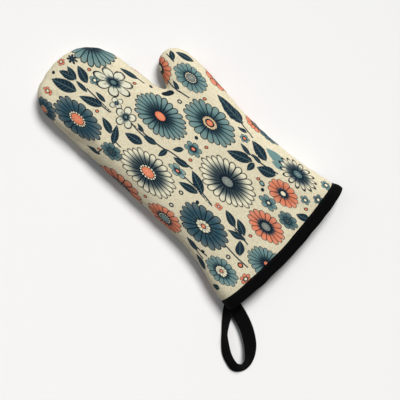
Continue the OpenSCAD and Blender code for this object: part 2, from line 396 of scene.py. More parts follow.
# ------------------------------------------------------------------ splitting hand from thumb
def split_surface():
    """Surface faces cut along the line from the crotch to the side, as polygons of indices."""
    bm = bmesh.new()
    bm.from_mesh(SURFACE)
    layers = [bm.verts.layers.float_vector.new(n) for n in ("n0", "n1")]
    for v in bm.verts:
        v[layers[0]] = Vector(smooth_normal[v.index])
        v[layers[1]] = Vector(NORMAL[v.index])
    near = [f for f in bm.faces if f.calc_center_median().x > (split_at[0] - 0.5) * MM]
    geometry = set(near) | {e for f in near for e in f.edges} | {v for f in near for v in f.verts}
    across = Vector((*THUMB_SPLIT, 0)).normalized()
    bmesh.ops.bisect_plane(bm, geom=list(geometry), dist=2e-4,
                           plane_co=Vector((*split_at, 0)) * MM, plane_no=across)
    bm.verts.index_update()
    plan, rim = bm.verts.layers.float_vector["plan"], bm.verts.layers.float_vector["rim"]
    side = bm.verts.layers.float["side"]
    data = {"co": np.array([v.co / MM for v in bm.verts]),
            "base_normal": unit(np.array([v[layers[0]] for v in bm.verts])),
            "normal": unit(np.array([v[layers[1]] for v in bm.verts])),
            "plan": np.array([v[plan] for v in bm.verts]),
            "rim": np.array([v[rim] for v in bm.verts]),
            "side": np.array([v[side] for v in bm.verts])}
    faces = [[v.index for v in f.verts] for f in bm.faces]
    bm.free()
    return data, faces


CUT, FACES = split_surface()
middle = np.array([CUT["co"][f].mean(0) for f in FACES])
which_side = np.sign([CUT["side"][f].mean() for f in FACES])
beyond = (middle[:, :2] - split_at) @ (THUMB_SPLIT / np.linalg.norm(THUMB_SPLIT))
on_thumb = (beyond > 0) & (middle[:, 0] > split_at[0])


def slab(name, chosen, depth_out, depth_in):
    """A closed layer between two depths under the chosen faces of the surface."""
    faces = [FACES[i] for i in np.flatnonzero(chosen)]
    used = sorted({v for f in faces for v in f})
    local = {v: i for i, v in enumerate(used)}
    n = len(used)
    co, push = CUT["co"][used], CUT["base_normal"][used]
    outer = co - push * depth_out
    inner = co - push * (depth_in[used][:, None] if np.ndim(depth_in) else depth_in)
    outer[:, 2] = np.maximum(outer[:, 2], 0.05 + depth_out)
    inner[:, 2] = np.maximum(inner[:, 2], 0.05 + (np.mean(depth_in)))
    top = [[local[v] for v in f] for f in faces]
    seen = {}
    for f in top:
        for a, b in zip(f, f[1:] + f[:1]):
            seen[a, b] = True
    walls = [[b, a, a + n, b + n] for a, b in seen if (b, a) not in seen]
    obj = make_object(name, [*outer, *inner],
                      top + [[v + n for v in f][::-1] for f in top] + walls)
    mesh = obj.data
    plan = CUT["plan"][used]
    put_attribute(mesh, "plan", "FLOAT_VECTOR", "POINT", np.concatenate([plan, plan]))
    normals = CUT["normal"][used]
    wanted = np.zeros((len(mesh.loops), 3))
    size = sum(len(f) for f in top)
    loops = np.array([l.vertex_index for l in mesh.loops][:size])
    wanted[:size] = normals[loops]
    mesh.normals_split_custom_set([tuple(w) for w in wanted])
    obj["outer_faces"] = len(top)
    return obj


def flat_cut(chosen, way, depth):
    """Flat size and area in metres of the cloth that makes the chosen faces at some depth.

    plan is the outer cloth laid flat. A deeper layer goes round a smaller edge, so its cut is
    narrower along the seam by the difference between the two quarter ellipses.
    """
    height = BACK_H if way > 0 else PALM_H
    turn = np.radians(np.linspace(0, 90, 40))
    arc = lambda d: np.sum(np.hypot(np.diff((EDGE_W - d) * np.cos(turn)),
                                    np.diff((height - d) * np.sin(turn))))
    narrower = arc(0) - arc(depth)
    corners, area = [], 0.0
    for i in np.flatnonzero(chosen):
        if CUT["rim"][FACES[i], 0].mean() < narrower:
            continue
        place = CUT["plan"][FACES[i]][:, :2]
        after = np.roll(place, -1, 0)
        area += abs(np.sum(place[:, 0] * after[:, 1] - place[:, 1] * after[:, 0])) / 2
        corners.append(place)
    size = np.ptp(np.concatenate(corners), axis=0) * MM
    return tuple(float(v) for v in size), float(area) * MM * MM


# ------------------------------------------------------------------ colours
def rgb(r, g, b):
    """Linear colour from a display colour with channels of 0 to 255."""
    return tuple(((c / 255 + 0.055) / 1.055) ** 2.4 if c > 10 else c / 255 / 12.92
                 for c in (r, g, b)) + (1.0,)


SAND, NAVY, INK = rgb(227, 219, 191), rgb(14, 42, 58), rgb(8, 20, 30)
TEAL, CORAL, CREAM = rgb(104, 138, 138), rgb(228, 130, 94), rgb(236, 229, 200)
LEAF, SLATE, PALE = rgb(12, 38, 52), rgb(78, 108, 112), rgb(134, 164, 160)
DEEP, GREY, LILY = rgb(44, 80, 94), rgb(122, 130, 126), rgb(228, 226, 202)


# ------------------------------------------------------------------ the print's motifs
class Flower:
    """A daisy: centre and half-size in mm on the cloth, petal count and its colours."""

    def __init__(self, x, y, w, h, petal, heart, ring, count=18, core=0.22, halo=0.6,
                 point=0.0, tilt=0.0):
        self.place, self.tilt = np.array([x, y], float), math.radians(tilt)
        self.size = np.array([w, h], float)
        self.colours = (petal, heart, ring)
        self.facts = (count, core, halo)
        self.point = point

    def local(self, p):
        q = p - self.place
        c, s = math.cos(self.tilt), math.sin(self.tilt)
        return np.stack([q[:, 0] * c + q[:, 1] * s, q[:, 1] * c - q[:, 0] * s], 1) / self.size

    def reach(self, p):
        return np.linalg.norm(self.local(p), axis=1) / (1 + 1.3 / self.size.min())


class Leaf:
    """A leaf, oval dot (kind 1), ring (kind 2) or stem (kind 3) on the cloth, in mm."""

    def __init__(self, x, y, length, width, lean=0.0, colour=LEAF, kind=0):
        self.place, self.lean = np.array([x, y], float), math.radians(lean)
        self.size = np.array([width, length], float) * (1.1 if kind == 0 else 1)
        self.colour, self.kind = colour, kind

    local, reach = Flower.local, Flower.reach

    @property
    def tilt(self):
        return self.lean


class Stem:
    """A curved line on the cloth, through points in mm."""
    kind, colour = 3, LEAF

    def __init__(self, *points, half=0.6):
        self.line = even(spline(points, 1.5), 1.5)
        self.half = half

    def local(self, p):
        gap = p[:, None, :] - self.line[None]
        far = np.linalg.norm(gap, axis=2)
        near = far.argmin(1)
        along = unit(np.gradient(self.line, axis=0))[near]
        best = gap[np.arange(len(p)), near]
        across = along[:, 0] * best[:, 1] - along[:, 1] * best[:, 0]
        run = (along * best).sum(1) + near * 1.5
        length = len(self.line) * 1.5
        return np.stack([across / self.half / 4, run / length * 2 - 1], 1)

    def reach(self, p):
        far = np.linalg.norm(p[:, None, :] - self.line[None], axis=2).min(1)
        return far / 3.0


FLOWERS = [
    Flower(-43.5, 102, 16.5, 33, DEEP, CORAL, CREAM, 18, 0.24, 0.3),
    Flower(26, 148, 23, 36, TEAL, NAVY, NAVY, 22, 0.16, 0.6),
    Flower(17, 39.5, 19, 35, TEAL, CORAL, NAVY, 24, 0.19, 0.75),
    Flower(69, 43, 12.5, 22, TEAL, GREY, CREAM, 15, 0.24, 0.5),
    Flower(46.5, -4, 18, 34, TEAL, CORAL, CREAM, 20, 0.2, 0.7),
    Flower(-35.5, 9.5, 19, 36.5, CREAM, CORAL, CREAM, 23, 0.21, 1.0),
    Flower(13, -59, 20.5, 37.5, CREAM, GREY, NAVY, 24, 0.19, 1.0),
    Flower(-38.5, -71.5, 18.5, 33.5, DEEP, CORAL, CREAM, 18, 0.17, 0.5),
    Flower(-62, -35.5, 12.5, 23.5, CORAL, TEAL, CREAM, 15, 0.24, 0.45),
    Flower(-75, 23, 18, 34, CORAL, NAVY, CREAM, 17, 0.22, 0.5),
    Flower(5, -121, 13.5, 24.5, CORAL, GREY, NAVY, 16, 0.24, 0.5),
    Flower(43, -111, 11.5, 21, CORAL, CREAM, NAVY, 13, 0.16, 0.5),
    Flower(69, -109, 13.5, 26, CREAM, SLATE, NAVY, 15, 0.22, 0.9, 0.7),
    Flower(-61, -117.5, 12, 22, TEAL, CREAM, NAVY, 15, 0.24, 0.6),
    Flower(-23.5, -147, 15, 24, TEAL, CORAL, NAVY, 20, 0.11, 0.7),
    Flower(-63, 138, 14, 18, DEEP, CORAL, CREAM, 14, 0.24, 0.3),
    Flower(48, 94, 7, 10, CORAL, CREAM, NAVY, 10, 0.22, 0.4),
    Flower(95, 21, 14, 19, CORAL, NAVY, CREAM, 9, 0.22, 0.4),
    Flower(86, -41, 12, 15, CORAL, NAVY, CREAM, 13, 0.22, 0.5),
    Flower(90.5, -58, 14, 19, DEEP, CORAL, CREAM, 15, 0.22, 0.3),
    Flower(10.5, 100, 14, 24, LILY, SLATE, NAVY, 7, 0.15, 0.5, 0.35, 12),
    Flower(-8, 65.5, 11.5, 13, LILY, SLATE, NAVY, 5, 0.15, 0.5, 0.35, -14),
    Flower(-3.5, 82.5, 7, 8, LILY, SLATE, NAVY, 4, 0.12, 0.5, 0.6, 30),
    Flower(-45, 52.5, 8, 14, SLATE, NAVY, TEAL, 8, 0.2, 0.7),
    Flower(14.5, -9.5, 7, 11.5, TEAL, CORAL, NAVY, 6, 0.2, 0.6),
    Flower(-13.5, -12.5, 5.5, 12, PALE, CORAL, NAVY, 5, 0.18, 0.6),
    Flower(25.5, -106, 6.5, 12.5, TEAL, CREAM, NAVY, 6, 0.16, 0.5),
    Flower(25, -134, 7.5, 13.5, SLATE, NAVY, TEAL, 8, 0.2, 0.7),
    Flower(59, -42, 4, 6.5, TEAL, CORAL, NAVY, 6, 0.28, 0.4),
    Flower(53.5, -133, 4, 6.5, TEAL, CREAM, NAVY, 5, 0.28, 0.4),
    Flower(-1, 116, 5, 6.5, TEAL, CREAM, NAVY, 5, 0.26, 0.4),
    Flower(63, -143, 5, 6.5, SLATE, CREAM, NAVY, 5, 0.26, 0.3),
    Flower(81, -139, 5, 7.5, TEAL, CREAM, NAVY, 6, 0.26, 0.4),
    Flower(0, 150, 5, 7.5, INK, NAVY, NAVY, 7, 0.2, 0.0, 0.8),
    Flower(-50, -142, 6.5, 6.5, CORAL, CREAM, NAVY, 6, 0.24, 0.4),
    Flower(-12.5, -69.5, 3.2, 5.5, CORAL, CREAM, NAVY, 4, 0.2, 0.3),
    Flower(-42.5, 146, 4, 7, CORAL, CREAM, NAVY, 5, 0.28, 0.3),
    Flower(-10, 158, 4.5, 6, CORAL, CREAM, NAVY, 5, 0.28, 0.3),
]
HEARTS = [
    Flower(-38.5, -71.5, 5.2, 9.5, CREAM, CORAL, NAVY, 11, 0.26, 0.2),
    Flower(-61, -117.5, 4.5, 8, CREAM, CORAL, NAVY, 11, 0.24, 0.2),
    Flower(46.5, -4, 5.4, 9.6, rgb(238, 206, 160), CORAL, NAVY, 22, 0.42, 0.2),
]
THUMB_FLOWERS = [Flower(52, 78, 15, 21, CORAL, CREAM, NAVY, 15, 0.22, 0.4)]
# LEAVES and STEMS are mostly the output of another program, which turned places read off a
# photograph into millimetres. A script here should hold no such table: they are to be replaced
# by places that follow a rule.
LEAVES = [
    Leaf(-26.5, 137.5, 14.5, 6.1, 15), Leaf(-16, 141.5, 10, 4.2, 13),
    Leaf(-11.5, 139.5, 8.5, 3.2, -16), Leaf(-5, 130, 10, 4.5, -19), Leaf(-20, 104, 12.5, 4.4, 19),
    Leaf(29.5, 95, 10.5, 2.8, 12), Leaf(-27.5, 74, 9.5, 3.7, -18), Leaf(-29, 61.5, 9.5, 4, -59),
    Leaf(-59, 68.5, 8.5, 2.5, 14), Leaf(-19, 44.5, 10, 4.5, 10), Leaf(-9, 31, 8, 3, 8),
    Leaf(-6, 46.5, 5.5, 1.9, -15), Leaf(-15, 122, 8, 2.2, -3),
    Leaf(-10, 99.5, 7, 2.2, -5), Leaf(73, -10, 19, 6.4, -6), Leaf(75.5, -20, 8.5, 4, -27),
    Leaf(64.5, -34, 5.5, 1.9, 12), Leaf(41.5, -50.5, 13.5, 5.2, 19), Leaf(51, -50, 7.5, 2.1, -10),
    Leaf(60, -62, 12, 5, -14), Leaf(51.5, -65.5, 6.5, 2, -5), Leaf(41, -66.5, 5, 3.7, 89),
    Leaf(48.5, -82, 10, 5.4, 18), Leaf(67, -78.5, 12, 4.7, -1, TEAL),
    Leaf(62, -87.5, 8, 3.3, 11, TEAL), Leaf(-19, -32.5, 11, 3.7, 11),
    Leaf(-8.5, -36, 12.5, 4.8, -24), Leaf(-4.5, -9, 9, 3.2, 9), Leaf(-10, 11.5, 5.5, 3.1, 75),
    Leaf(3.5, 2, 5.5, 2.8, 42), Leaf(-13.5, -87, 9.5, 3.8, -19), Leaf(-13, -101.5, 9, 3.9, -26),
    Leaf(-23, -102, 7.5, 2.7, 4), Leaf(74.5, 75, 6.5, 3, -30), Leaf(83, 63.5, 10.5, 3.9, 15),
    Leaf(53, 50, 5.5, 2.1, -13), Leaf(41.5, 50.5, 7.5, 3.8, 42, LEAF, 1), Leaf(-22, -103.5, 10.5, 2.7, 11),
    Leaf(-30, -115.5, 7.5, 4.8, -48), Leaf(-61.5, -75, 8.5, 2.7, -10),
    Leaf(-70.5, -94.5, 9, 3.4, -20), Leaf(-79, -124, 4.5, 3.4, 28), Leaf(38.5, -143, 7, 3.8, 20),
    *[Leaf(x, y, 2.5, 1.9, 20, CORAL, kind) for x, y, kind in (
        (3.5, 128, 1), (25, 83, 1), (-23.5, 92, 1), (-53, 64.5, 1), (-58, -5, 1), (4, -15, 1),
        (25, -18.5, 1), (-13, -115, 1), (47, -140, 1), (37, -81, 1), (62, 17, 1))],
    *[Leaf(x, y, 2.5, 1.9, -15, NAVY, 1) for x, y in (
        (36, 69), (25.5, -4), (31.5, -92), (-59.5, -89), (-24, 156), (-24, -50))],
    *[Leaf(x, y, 3.2, 2.3, 0, NAVY, 2) for x, y in (
        (42.5, 35), (-28, -30.5), (-44.5, -31.5), (-45, -112.5))],
    Leaf(36, -87, 4.5, 2.4, -10, PALE, 1), Leaf(-43, -128, 4, 2.8, 0, CORAL, 1),
]
STEMS = [
    Stem((-13, 116.5), (-14.5, 81.5)), Stem((32, 86), (33, 77.5)),
    Stem((-8.5, 59), (-10, 46), (-10, 34.5)), Stem((-16, 92.5), (-15.5, 82.5)),
    Stem((-45.5, 61), (-56.5, 63)), Stem((-34.5, 56.5), (-35, 49.5)),
    Stem((-9.5, 60), (-8, 42.5), (-6.5, 17), (-3.5, 5), (-1.5, -22)),
    Stem((-13, -14), (-13.5, -29.5), (-13.5, -47.5), (-16, -62.5)), Stem((70, -28), (66, -47)),
    Stem((50.5, -56.5), (51.5, -75.5), (54.5, -92)), Stem((49.5, 61), (50, 46), (52, 31)),
    Stem((71.5, 81.5), (70, 68.5)), Stem((-17, -95.5), (-20, -112.5)),
    Stem((-15, -45.5), (-16.5, -62.5)), Stem((-19, -97.5), (-21.5, -118)),
    Stem((-38, -103), (-39.5, -120), (-39.5, -134.5)), Stem((-61, -76), (-60, -94.5)),
    Stem((-63.5, -82.5), (-65.5, -93)),
]
PALM_MORE = [
    Flower(62, 104, 16, 30, TEAL, CORAL, CREAM, 18, 0.22, 0.7),
    Flower(88, 128, 14, 26, CORAL, NAVY, CREAM, 14, 0.24, 0.5),
    Flower(56, 150, 12, 20, CREAM, SLATE, NAVY, 16, 0.26, 0.8),
    Flower(84, 92, 7, 11, SLATE, CREAM, NAVY, 7, 0.26, 0.3),
    Flower(78, 158, 8, 13, NAVY, CREAM, CORAL, 12, 0.25, 0.3),
]
PALM_LEAVES = [
    Leaf(76, 110, 9, 3.4, 24), Leaf(80, 146, 9, 3.4, -20), Leaf(70, 132, 9, 3.4, 30),
    Leaf(46, 122, 9, 3.4, -24), Leaf(94, 104, 9, 3.4, 10), Leaf(68, 78, 2.2, 1.6, 0, CORAL, 1),
]


def sort_into_layers(motifs, count, points):
    """Shares motifs among layers so that none overlaps another of its own layer."""
    layers = [[] for _ in range(count)]
    taken = [np.zeros(len(points), bool) for _ in range(count)]
    for m in motifs:
        covers = m.reach(points) < 1
        clash = [np.count_nonzero(t & covers) for t in taken]
        best = int(np.argmin(clash))
        layers[best].append(m)
        taken[best] |= covers
    return layers


def store_layer(obj, prefix, motifs, cloth):
    """Puts each face's motif on a panel: its local place per corner, its colours per face."""
    mesh = obj.data
    loops = np.array([l.vertex_index for l in mesh.loops])
    starts = np.array([p.loop_start for p in mesh.polygons])
    sizes = np.array([p.loop_total for p in mesh.polygons])
    centre = np.add.reduceat(cloth[loops], starts) / sizes[:, None]
    reach = np.stack([m.reach(centre) for m in motifs])
    best = reach.argmin(0)
    local = np.full((len(loops), 3), 9.0)
    of_loop = np.repeat(best, sizes)
    for k, m in enumerate(motifs):
        mine = of_loop == k
        if mine.any():
            local[mine, :2] = m.local(cloth[loops[mine]])
            local[mine, 2] = k * 3.7 % 11
    local[np.repeat(reach.min(0), sizes) > 1.25, :2] = 9.0
    put_attribute(mesh, prefix + "_at", "FLOAT_VECTOR", "CORNER", local)
    if isinstance(motifs[0], Flower):
        for i, part in enumerate(("petal", "heart", "ring")):
            put_attribute(mesh, f"{prefix}_{part}", "FLOAT_COLOR", "CORNER",
                          np.array([m.colours[i] for m in motifs])[of_loop])
        facts = np.array([m.facts for m in motifs])[of_loop]
        put_attribute(mesh, prefix + "_facts", "FLOAT_VECTOR", "CORNER", facts)
        put_attribute(mesh, prefix + "_point", "FLOAT", "CORNER",
                      np.array([m.point for m in motifs])[of_loop])
    else:
        put_attribute(mesh, prefix + "_ink", "FLOAT_COLOR", "CORNER",
                      np.array([m.colour for m in motifs])[of_loop])
        put_attribute(mesh, prefix + "_kind", "FLOAT", "CORNER",
                      np.array([m.kind for m in motifs], float)[of_loop])


def print_cloth(obj, way, thumb):
    """Draws the print on a panel: the back's motifs, or the same cloth turned for the palm."""
    plan = np.array([tuple(d.vector) for d in obj.data.attributes["plan"].data])[:, :2]
    cloth = plan * 1.016 + [0.3, 0.8] if way > 0 else np.array([18.0, 0]) - plan
    flowers, leaves = FLOWERS, LEAVES
    if way < 0:
        flowers, leaves = FLOWERS + PALM_MORE, LEAVES + PALM_LEAVES
    elif thumb:
        flowers = FLOWERS + THUMB_FLOWERS
    field = np.stack(np.meshgrid(np.arange(-120, 121, 3), np.arange(-180, 181, 3)), -1)
    one, two = sort_into_layers(flowers, 2, field.reshape(-1, 2))
    store_layer(obj, "f1", one, cloth)
    store_layer(obj, "f2", two, cloth)
    store_layer(obj, "f3", HEARTS, cloth)
    store_layer(obj, "leaf", leaves, cloth)
    store_layer(obj, "stem", STEMS, cloth)


# ------------------------------------------------------------------ shader nodes
class Nodes:
    """Short calls that add shader nodes to a tree and link them."""

    def __init__(self, tree):
        self.tree = tree

    def add(self, kind, inputs=(), **settings):
        node = self.tree.nodes.new(kind)
        for key, value in settings.items():
            setattr(node, key, value)
        for key, value in dict(inputs).items():
            if isinstance(value, bpy.types.NodeSocket):
                self.tree.links.new(value, node.inputs[key])
            elif value is not None:
                node.inputs[key].default_value = value
        return node

    def math(self, operation, a, b=0.0, c=0.0, clamp=False):
        node = self.add("ShaderNodeMath", {0: a, 1: b, 2: c}, operation=operation)
        node.use_clamp = clamp
        return node.outputs[0]

    def fade(self, x, low, high):
        """0 where x is low, 1 where it is high, smooth between."""
        return self.add("ShaderNodeMapRange", {"Value": x, "From Min": low, "From Max": high},
                        interpolation_type="SMOOTHSTEP").outputs[0]

    def mix(self, amount, a, b):
        node = self.add("ShaderNodeMix", data_type="RGBA")
        for key, value in ((0, amount), (6, a), (7, b)):
            if isinstance(value, bpy.types.NodeSocket):
                self.tree.links.new(value, node.inputs[key])
            else:
                node.inputs[key].default_value = value
        return node.outputs[2]

    def noise(self, vector, scale, detail=2.0, rough=0.5, size=3):
        return self.add("ShaderNodeTexNoise", {"Vector": vector, "Scale": scale,
                                               "Detail": detail, "Roughness": rough},
                        noise_dimensions=f"{size}D").outputs[0]

    def join(self, x, y, z=0.0):
        return self.add("ShaderNodeCombineXYZ", {0: x, 1: y, 2: z}).outputs[0]

    def part(self, vector):
        return self.add("ShaderNodeSeparateXYZ", {0: vector}).outputs

    def attribute(self, name):
        return self.add("ShaderNodeAttribute", attribute_name=name).outputs


def group(name, inputs, outputs):
    tree = bpy.data.node_groups.new(name, "ShaderNodeTree")
    for direction, sockets in (("INPUT", inputs), ("OUTPUT", outputs)):
        for label, kind in sockets:
            tree.interface.new_socket(label, in_out=direction, socket_type="NodeSocket" + kind)
    n = Nodes(tree)
    return n, n.add("NodeGroupInput").outputs, n.add("NodeGroupOutput")


def flower_group():
    """Draws a daisy in local coordinates, where its petals end near radius 1."""
    n, given, out = group("flower", [("Under", "Color"), ("At", "Vector"), ("Petal", "Color"),
                                     ("Heart", "Color"), ("Ring", "Color"),
                                     ("Facts", "Vector"), ("Point", "Float")],
                          [("Colour", "Color")])
    x, y, seed = n.part(given["At"])
    count, core, halo = n.part(given["Facts"])
    r = n.math("SQRT", n.math("ADD", n.math("MULTIPLY", x, x), n.math("MULTIPLY", y, y)))
    turn = n.math("DIVIDE", n.math("ARCTAN2", y, x), 2 * math.pi)
    turn = n.math("ADD", turn, n.math("MULTIPLY", seed, 0.031))
    sector = n.math("MULTIPLY", turn, count)
    index = n.math("WRAP", n.math("FLOOR", sector), count, 0.0)
    odd = n.add("ShaderNodeTexWhiteNoise", {"W": n.math("ADD", index, n.math("MULTIPLY", seed, 19.1))},
                noise_dimensions="1D").outputs["Value"]
    across = n.math("ABSOLUTE", n.math("SUBTRACT", n.math("FRACT", sector), 0.5))
    across = n.math("MULTIPLY", across, 2.0)
    length = n.math("MULTIPLY_ADD", odd, 0.10, 0.90)
    bend = n.math("MULTIPLY_ADD", given["Point"], -0.45, 0.82)
    bend = n.math("SUBTRACT", bend, n.math("MULTIPLY", n.fade(count, 10.0, 5.0), 0.4))
    bend = n.math("MAXIMUM", bend, 0.3)
    start = n.math("MULTIPLY", length, bend)
    over = n.math("DIVIDE", n.math("SUBTRACT", r, start), n.math("SUBTRACT", length, start))
    over = n.math("MAXIMUM", over, 0.0)
    power = n.math("MULTIPLY_ADD", given["Point"], -0.8, 2.0)
    tip = n.math("ADD", n.math("POWER", across, 2.0), n.math("POWER", over, power))
    inside = n.math("SUBTRACT", 1.0, tip)
    gap = n.math("MULTIPLY", n.math("MULTIPLY", n.math("SUBTRACT", 1.0, across), r),
                 n.math("DIVIDE", math.pi, count))
    gap = n.math("ADD", gap, n.math("MULTIPLY", over, 0.02))
    petal = n.fade(inside, -0.16, -0.04)
    broad = n.math("MULTIPLY_ADD", count, 0.033, 0.4)
    edge = n.fade(inside, n.math("MULTIPLY", broad, 0.14), n.math("MULTIPLY", broad, 0.5))
    line = n.math("MINIMUM", n.fade(gap, 0.008, 0.032), edge)
    rays = n.noise(n.join(n.math("MULTIPLY", sector, 2.6), n.math("MULTIPLY", r, 1.2), seed), 2.6,
                   1.0, 0.5)
    rays = n.fade(rays, 0.46, 0.60)
    clear = n.fade(r, n.math("MULTIPLY", core, 1.2), n.math("MULTIPLY_ADD", halo, 0.6, core))
    shade = n.math("SUBTRACT", 1.0, n.math("MULTIPLY", clear, clear))
    reach = n.math("MULTIPLY_ADD", odd, 0.25, 0.55)
    ending = n.fade(r, n.math("MULTIPLY", reach, 0.6), reach)
    streak = n.math("MULTIPLY", rays, n.math("SUBTRACT", 1.0, ending))
    bright = n.mix(n.math("MULTIPLY", n.fade(r, 0.55, 0.95), 0.12), given["Petal"], CREAM)
    bright = n.mix(n.math("MULTIPLY", odd, 0.14), bright, SLATE)
    colour = n.mix(n.math("MULTIPLY", streak, 0.62), bright, NAVY)
    shade = n.math("MULTIPLY", shade, n.math("MULTIPLY_ADD", rays, 0.15, 0.85))
    colour = n.mix(n.math("MULTIPLY", n.math("POWER", shade, 0.7), 0.9), colour, SLATE)
    colour = n.mix(n.math("POWER", shade, 1.3), colour, NAVY)
    colour = n.mix(line, INK, colour)
    rim = n.fade(n.math("SUBTRACT", n.math("MULTIPLY", core, 1.45), r), -0.02, 0.02)
    colour = n.mix(rim, colour, INK)
    bead_turn = n.math("MULTIPLY", turn, n.math("FLOOR", n.math("MULTIPLY", core, 74.0)))
    bead_across = n.math("SUBTRACT", n.math("FRACT", bead_turn), 0.5)
    bead_out = n.math("DIVIDE", n.math("SUBTRACT", r, n.math("MULTIPLY", core, 1.2)),
                      n.math("MULTIPLY", core, 0.46))
    bead = n.math("ADD", n.math("MULTIPLY", bead_across, bead_across),
                  n.math("MULTIPLY", bead_out, bead_out))
    bead = n.math("SUBTRACT", 1.0, n.fade(bead, 0.07, 0.14))
    colour = n.mix(bead, colour, given["Ring"])
    disc = n.fade(n.math("SUBTRACT", core, r), -0.005, 0.02)
    grain = n.noise(n.join(n.math("MULTIPLY", x, 9.0), n.math("MULTIPLY", y, 9.0), seed), 3.5, 1.0)
    heart = n.mix(n.math("MULTIPLY", n.fade(grain, 0.5, 0.62), 0.4), given["Heart"], CREAM)
    heart = n.mix(n.fade(r, n.math("MULTIPLY", core, 0.42), n.math("MULTIPLY", core, 0.55)), heart,
                  given["Heart"])
    colour = n.mix(disc, colour, heart)
    inside_all = n.math("MAXIMUM", petal, rim)
    n.tree.links.new(n.mix(inside_all, given["Under"], colour), out.inputs[0])
    return n.tree


def leaf_group():
    """Draws a leaf, an oval, a ring or a stem in local coordinates."""
    n, given, out = group("leaf", [("Under", "Color"), ("At", "Vector"), ("Ink", "Color"),
                                   ("Kind", "Float")], [("Colour", "Color")])
    x, y, seed = n.part(given["At"])
    flat = n.math("ABSOLUTE", x)
    r = n.math("SQRT", n.math("ADD", n.math("MULTIPLY", x, x), n.math("MULTIPLY", y, y)))
    ends = n.math("MAXIMUM", n.math("SUBTRACT", 1.0, n.math("MULTIPLY", y, y)), 0.0)
    width = n.math("MULTIPLY", n.math("POWER", ends, 0.85), n.math("MULTIPLY_ADD", y, -0.28, 0.95))
    leaf = n.fade(n.math("SUBTRACT", width, flat), -0.04, 0.10)
    veins = n.math("FRACT", n.math("MULTIPLY", n.math("SUBTRACT", y, n.math("MULTIPLY", flat, 0.35)), 3.4))
    vein = n.math("SUBTRACT", 1.0, n.fade(n.math("ABSOLUTE", n.math("SUBTRACT", veins, 0.5)), 0.05, 0.16))
    midrib = n.math("SUBTRACT", 1.0, n.fade(flat, 0.03, 0.13))
    light = n.math("MAXIMUM", n.math("MULTIPLY", vein, 0.12), n.math("MULTIPLY", midrib, 0.26))
    light = n.math("MULTIPLY", light, n.fade(n.math("SUBTRACT", width, flat), 0.05, 0.2))
    one = lambda k: n.math("COMPARE", given["Kind"], float(k), 0.3)
    light = n.math("MULTIPLY", light, one(0))
    oval = n.math("SUBTRACT", 1.0, n.fade(r, 0.82, 1.0))
    ring = n.math("MULTIPLY", oval, n.fade(r, 0.32, 0.5))
    stem = n.math("MULTIPLY", n.math("SUBTRACT", 1.0, n.fade(flat, 0.20, 0.36)),
                  n.math("SUBTRACT", 1.0, n.fade(n.math("ABSOLUTE", y), 0.97, 1.0)))
    cover = n.math("MULTIPLY", leaf, one(0))
    for k, shape in ((1, oval), (2, ring), (3, stem)):
        cover = n.math("ADD", cover, n.math("MULTIPLY", shape, one(k)))
    cover = n.math("MINIMUM", cover, 1.0)
    ink = n.mix(light, given["Ink"], PALE)
    ink = n.mix(n.math("MULTIPLY", n.fade(r, 0.42, 0.6), one(1)), ink, INK)
    n.tree.links.new(n.mix(cover, given["Under"], ink), out.inputs[0])
    return n.tree


def new_material(name):
    material = bpy.data.materials.new(name)
    material.use_nodes = True
    tree = material.node_tree
    tree.nodes.clear()
    n = Nodes(tree)
    shader = n.add("ShaderNodeBsdfPrincipled")
    n.add("ShaderNodeOutputMaterial", {0: shader.outputs[0]})
    return material, n, shader


def weave(n, vector, pitch):
    """Height of a plain weave of that pitch, from 0 to 1, and its slow unevenness."""
    x, y, _ = n.part(vector)
    slow = n.noise(vector, 0.09, 3.0, 0.6)
    wobble = n.math("MULTIPLY", n.math("SUBTRACT", n.noise(vector, 0.35, 2.0), 0.5), 0.9)
    u = n.math("DIVIDE", n.math("ADD", x, wobble), pitch)
    v = n.math("DIVIDE", n.math("ADD", y, wobble), pitch)
    su = n.math("SINE", n.math("MULTIPLY", u, math.pi))
    sv = n.math("SINE", n.math("MULTIPLY", v, math.pi))
    over = n.math("MULTIPLY", su, sv)
    warp = n.math("ABSOLUTE", su)
    weft = n.math("ABSOLUTE", sv)
    height = n.add("ShaderNodeMix", data_type="FLOAT")
    for key, value in ((0, n.fade(over, -0.25, 0.25)), (2, weft), (3, warp)):
        n.tree.links.new(value, height.inputs[key])
    return height.outputs[0], slow


